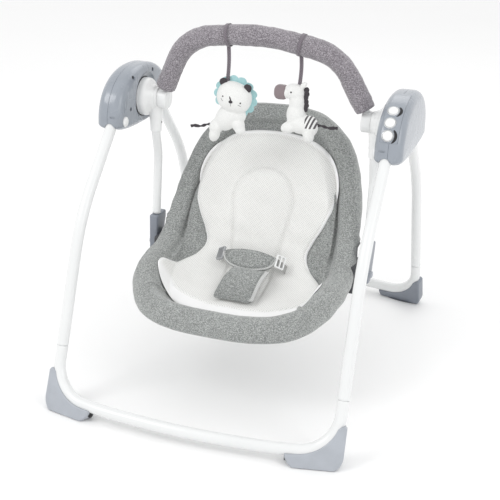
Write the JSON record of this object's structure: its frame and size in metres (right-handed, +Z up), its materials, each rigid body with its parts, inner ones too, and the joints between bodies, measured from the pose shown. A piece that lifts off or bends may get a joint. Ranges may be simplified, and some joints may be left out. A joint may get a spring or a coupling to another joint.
{
  "type": "baby swing",
  "caption": "Folding baby swing with a padded reclining seat hung from hubs on an A-shaped tube frame, with an arched toy bar and two hanging plush toys.",
  "frame": {"origin": "centre of the footprint on the floor, under the swing axis", "axes": "+X towards the right seen from the front (the side of the control panel), +Y towards the back, +Z up; the baby faces -Y"},
  "size_m": [0.58, 0.7868, 0.6584],
  "materials": {
    "white_paint": "gloss powder coat",
    "grey_plastic": "satin moulded",
    "grey_gloss": "gloss moulded",
    "white_plastic": "gloss moulded",
    "dark_plastic": "matt moulded",
    "steel": "plain",
    "brass": "plain",
    "board": "lacquered board",
    "grey_fabric": "melange woven, padded",
    "white_fabric": "open mesh knit, padded",
    "knit": "melange knit over foam",
    "plush": "short plush"
  },
  "bodies": {
    "rear_frame": {"rear_base_bar": "white_paint", "rear_left_leg": "white_paint", "rear_right_leg": "white_paint", "rear_left_foot": "grey_plastic", "rear_right_foot": "grey_plastic", "left_hub_outer_shell": "grey_gloss", "left_hub_inner_shell": "grey_gloss", "right_hub_outer_shell": "grey_gloss", "right_hub_inner_shell": "grey_gloss", "control_panel": "grey_gloss", "circuit_board": "board", "drive_coil": "brass", "speaker": "dark_plastic", "battery_tray": "dark_plastic", "battery_cell_front": "steel", "battery_cell_rear": "steel", "battery_door": "grey_gloss", "left_pivot_bush": "brass", "right_pivot_bush": "brass", "left_leg_pin": "steel", "right_leg_pin": "steel"},
    "front_frame": {"front_base_bar": "white_paint", "front_left_leg": "white_paint", "front_right_leg": "white_paint", "front_left_foot": "grey_plastic", "front_right_foot": "grey_plastic"},
    "swing": {"left_swing_housing": "white_plastic", "right_swing_housing": "white_plastic", "left_arm_tube": "white_paint", "right_arm_tube": "white_paint", "left_pivot_shaft": "steel", "right_pivot_shaft": "steel", "magnet_lever": "white_plastic", "left_arm_bracket": "grey_plastic", "right_arm_bracket": "grey_plastic"},
    "seat": {"seat_cover": "grey_fabric", "infant_insert": "white_fabric", "seat_hoop": "steel", "back_hoop": "steel", "left_seat_socket": "dark_plastic", "right_seat_socket": "dark_plastic", "crotch_strap": "grey_fabric", "waist_pad": "grey_fabric"},
    "toy_bar": {"toy_bar_tube": "white_plastic", "toy_bar_cover": "knit", "left_toy_bar_socket": "white_plastic", "right_toy_bar_socket": "white_plastic"},
    "cub": {"cub_ribbon": "knit", "cub_toy": "plush"},
    "foal": {"foal_ribbon": "knit", "foal_toy": "plush"},
    "power_button_key": {"power_button": "white_plastic"},
    "speed_button_key": {"speed_button": "white_plastic"},
    "music_button_key": {"music_button": "white_plastic"},
    "left_leg_lock_key": {"left_leg_lock": "white_plastic"},
    "right_leg_lock_key": {"right_leg_lock": "white_plastic"},
    "rear_left_snap_button_key": {"rear_left_snap_button": "steel"},
    "rear_right_snap_button_key": {"rear_right_snap_button": "steel"},
    "left_recline_button_key": {"left_recline_button": "dark_plastic"},
    "right_recline_button_key": {"right_recline_button": "dark_plastic"}
  },
  "joints": [
    {"name": "front_fold", "type": "hinge", "parent": "rear_frame", "child": "front_frame", "pos_m": [0, -0.075, 0.5], "axis": [1, 0, 0], "range_deg": [0, 44]},
    {"name": "swing", "type": "hinge", "parent": "rear_frame", "child": "swing", "pos_m": [0, 0, 0.5], "axis": [1, 0, 0], "range_deg": [-18, 18]},
    {"name": "recline", "type": "hinge", "parent": "swing", "child": "seat", "pos_m": [0, 0.002, 0.203], "axis": [-1, 0, 0], "range_deg": [0, 20]},
    {"name": "toy_bar_tilt", "type": "hinge", "parent": "swing", "child": "toy_bar", "pos_m": [0, 0, 0.5], "axis": [1, 0, 0], "range_deg": [-10, 70]},
    {"name": "power_button_press", "type": "slide", "parent": "rear_frame", "child": "power_button_key", "axis": [0, 0.506, -0.8625], "range_m": [0, 0.0015], "stiffness_N_per_m": 600, "springref_m": -0.0008},
    {"name": "speed_button_press", "type": "slide", "parent": "rear_frame", "child": "speed_button_key", "axis": [0, 0.7326, -0.6806], "range_m": [0, 0.0015], "stiffness_N_per_m": 600, "springref_m": -0.0008},
    {"name": "music_button_press", "type": "slide", "parent": "rear_frame", "child": "music_button_key", "axis": [0, 0.9029, -0.4299], "range_m": [0, 0.0015], "stiffness_N_per_m": 600, "springref_m": -0.0008},
    {"name": "left_leg_lock_press", "type": "slide", "parent": "rear_frame", "child": "left_leg_lock_key", "axis": [-1, 0, 0], "range_m": [0, 0.002], "stiffness_N_per_m": 600, "springref_m": -0.001},
    {"name": "rear_left_snap_press", "type": "slide", "parent": "rear_frame", "child": "rear_left_snap_button_key", "axis": [0, 1, 0], "range_m": [0, 0.0018], "stiffness_N_per_m": 600, "springref_m": -0.001},
    {"name": "left_recline_press", "type": "slide", "parent": "swing", "child": "left_recline_button_key", "axis": [1, 0, 0], "range_m": [0, 0.0025], "stiffness_N_per_m": 600, "springref_m": -0.001},
    {"name": "right_leg_lock_press", "type": "slide", "parent": "rear_frame", "child": "right_leg_lock_key", "axis": [1, 0, 0], "range_m": [0, 0.002], "stiffness_N_per_m": 600, "springref_m": -0.001},
    {"name": "rear_right_snap_press", "type": "slide", "parent": "rear_frame", "child": "rear_right_snap_button_key", "axis": [0, 1, 0], "range_m": [0, 0.0018], "stiffness_N_per_m": 600, "springref_m": -0.001},
    {"name": "right_recline_press", "type": "slide", "parent": "swing", "child": "right_recline_button_key", "axis": [-1, 0, 0], "range_m": [0, 0.0025], "stiffness_N_per_m": 600, "springref_m": -0.001},
    {"name": "cub_hang", "type": "hinge", "parent": "toy_bar", "child": "cub", "pos_m": [-0.066, -0.01425, 0.63561], "axis": [0.9925, -0.0128, 0.1217], "range_deg": [-75, 15]},
    {"name": "foal_hang", "type": "hinge", "parent": "toy_bar", "child": "foal", "pos_m": [0.074, -0.01367, 0.63007], "axis": [0.9833, 0.019, -0.1812], "range_deg": [-75, 15]}
  ]
}
